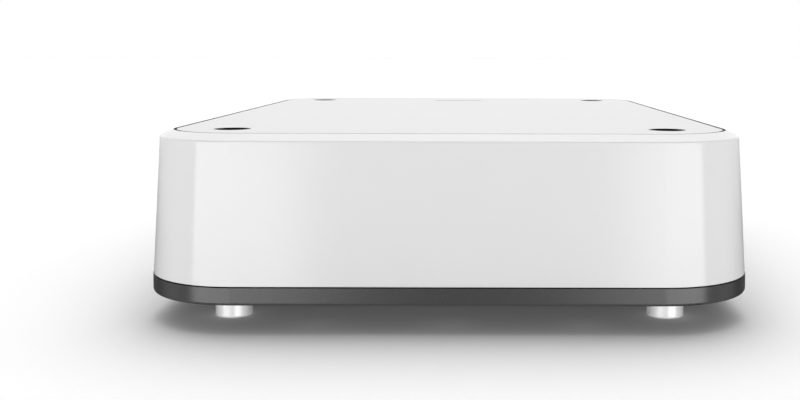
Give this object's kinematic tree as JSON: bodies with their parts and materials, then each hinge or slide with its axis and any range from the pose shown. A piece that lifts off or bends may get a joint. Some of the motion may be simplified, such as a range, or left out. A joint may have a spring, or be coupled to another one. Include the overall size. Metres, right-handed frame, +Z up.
{
  "type": "marine amplifier",
  "caption": "Low white boxed boat amplifier on standoff feet, with an inset top panel, recessed connector panels, turning level knobs, slide switches, pull-off plugs and fuses.",
  "frame": {"origin": "under the middle of the body, on the surface that the feet stand on", "axes": "+Z up, +Y along the long sides from the blank end seen in the picture to the end with the status light, +X towards the input panel"},
  "size_m": [0.206, 0.28, 0.0645],
  "materials": {
    "cover_white": "satin moulded, white",
    "panel_white": "satin, white",
    "tray_grey": "fine texture powder coat, dark grey",
    "panel_black": "fine texture powder coat, black",
    "foot_metal": "satin turned",
    "column_black": "satin moulded, black",
    "seal_rubber": "matt black",
    "steel_screw": "stainless",
    "board_green": "solder mask, green",
    "pillar_brass": "plain brass",
    "sink_metal": "extruded, plain",
    "pad_grey": "matt grey silicone",
    "chip_black": "moulded resin",
    "clamp_steel": "zinc plated",
    "core_grey": "sintered ferrite",
    "copper_wire": "enamelled copper",
    "capacitor_sleeve": "shrunk sleeve",
    "socket_black": "moulded, black",
    "shell_plated": "nickel plated",
    "ring_colour": "red and white moulded rings",
    "core_white": "moulded, white",
    "pot_metal": "plated",
    "knob_black": "moulded, black",
    "lever_white": "moulded, white",
    "light_clear": "diffusing plastic",
    "lens_grey": "smoked diffusing plastic",
    "plug_metal": "zinc plated",
    "fuse_amber": "translucent moulded plastic",
    "fuse_metal": "plated blade",
    "plug_black": "moulded, black"
  },
  "bodies": {
    "amplifier": {"top_cover": "cover_white", "top_panel": "panel_white", "base_plate": "tray_grey", "input_panel": "panel_black", "output_panel": "panel_black", "mounting_feet": "foot_metal", "mounting_columns": "column_black", "housing_seals": "seal_rubber", "cover_screws": "steel_screw", "inner_screws": "steel_screw", "side_screws": "steel_screw", "clamp_bolts": "steel_screw", "main_board": "board_green", "control_board": "board_green", "light_board": "board_green", "board_pillars": "pillar_brass", "heat_sinks": "sink_metal", "thermal_pads": "pad_grey", "power_transistors": "chip_black", "signal_chips": "chip_black", "clamp_bars": "clamp_steel", "transformer_cores": "core_grey", "output_inductors": "core_grey", "transformer_windings": "copper_wire", "supply_capacitors": "capacitor_sleeve", "rca_bodies": "socket_black", "remote_socket": "socket_black", "power_housing": "socket_black", "speaker_headers": "socket_black", "fuse_holder": "socket_black", "switch_frames": "socket_black", "rca_shells": "shell_plated", "header_pins": "shell_plated", "power_contacts": "shell_plated", "power_screws": "shell_plated", "rca_rings": "ring_colour", "rca_cores": "core_white", "potentiometers": "pot_metal", "indicator_lights": "light_clear", "status_lens": "lens_grey"},
    "gain_knob_1": {"gain_knob_1": "knob_black"},
    "filter_knob_1": {"filter_knob_1": "knob_black"},
    "gain_knob_2": {"gain_knob_2": "knob_black"},
    "filter_knob_2": {"filter_knob_2": "knob_black"},
    "gain_knob_3": {"gain_knob_3": "knob_black"},
    "filter_knob_3": {"filter_knob_3": "knob_black"},
    "filter_switch_1": {"filter_switch_1": "lever_white"},
    "filter_switch_2": {"filter_switch_2": "lever_white"},
    "filter_switch_3": {"filter_switch_3": "lever_white"},
    "input_switch": {"input_switch": "lever_white"},
    "speaker_plug_1": {"speaker_plug_1": "plug_black", "plug_screws_1": "plug_metal"},
    "speaker_plug_2": {"speaker_plug_2": "plug_black", "plug_screws_2": "plug_metal"},
    "speaker_plug_3": {"speaker_plug_3": "plug_black", "plug_screws_3": "plug_metal"},
    "fuse_1": {"fuse_1": "fuse_amber", "fuse_blades_1": "fuse_metal"},
    "fuse_2": {"fuse_2": "fuse_amber", "fuse_blades_2": "fuse_metal"}
  },
  "joints": [
    {"name": "gain_1_turn", "type": "hinge", "parent": "amplifier", "child": "gain_knob_1", "pos_m": [0.094, -0.0215, 0.039], "axis": [1, 0, 0], "range_deg": [-140, 140]},
    {"name": "filter_1_turn", "type": "hinge", "parent": "amplifier", "child": "filter_knob_1", "pos_m": [0.094, -0.0105, 0.039], "axis": [1, 0, 0], "range_deg": [-140, 140]},
    {"name": "gain_2_turn", "type": "hinge", "parent": "amplifier", "child": "gain_knob_2", "pos_m": [0.094, 0.0025, 0.039], "axis": [1, 0, 0], "range_deg": [-140, 140]},
    {"name": "filter_2_turn", "type": "hinge", "parent": "amplifier", "child": "filter_knob_2", "pos_m": [0.094, 0.0135, 0.039], "axis": [1, 0, 0], "range_deg": [-140, 140]},
    {"name": "gain_3_turn", "type": "hinge", "parent": "amplifier", "child": "gain_knob_3", "pos_m": [0.094, 0.0265, 0.039], "axis": [1, 0, 0], "range_deg": [-140, 140]},
    {"name": "filter_3_turn", "type": "hinge", "parent": "amplifier", "child": "filter_knob_3", "pos_m": [0.094, 0.0375, 0.039], "axis": [1, 0, 0], "range_deg": [-140, 140]},
    {"name": "filter_switch_1_slide", "type": "slide", "parent": "amplifier", "child": "filter_switch_1", "axis": [0, 1, 0], "range_m": [-0.002, 0.002]},
    {"name": "filter_switch_2_slide", "type": "slide", "parent": "amplifier", "child": "filter_switch_2", "axis": [0, 1, 0], "range_m": [-0.002, 0.002]},
    {"name": "filter_switch_3_slide", "type": "slide", "parent": "amplifier", "child": "filter_switch_3", "axis": [0, 1, 0], "range_m": [-0.002, 0.002]},
    {"name": "input_switch_slide", "type": "slide", "parent": "amplifier", "child": "input_switch", "axis": [0, 1, 0], "range_m": [-0.002, 0.002]},
    {"name": "speaker_plug_1_pull", "type": "slide", "parent": "amplifier", "child": "speaker_plug_1", "axis": [-1, 0, 0], "range_m": [0, 0.016]},
    {"name": "speaker_plug_2_pull", "type": "slide", "parent": "amplifier", "child": "speaker_plug_2", "axis": [-1, 0, 0], "range_m": [0, 0.016]},
    {"name": "speaker_plug_3_pull", "type": "slide", "parent": "amplifier", "child": "speaker_plug_3", "axis": [-1, 0, 0], "range_m": [0, 0.016]},
    {"name": "fuse_1_pull", "type": "slide", "parent": "amplifier", "child": "fuse_1", "axis": [-1, 0, 0], "range_m": [0, 0.012]},
    {"name": "fuse_2_pull", "type": "slide", "parent": "amplifier", "child": "fuse_2", "axis": [-1, 0, 0], "range_m": [0, 0.012]}
  ]
}
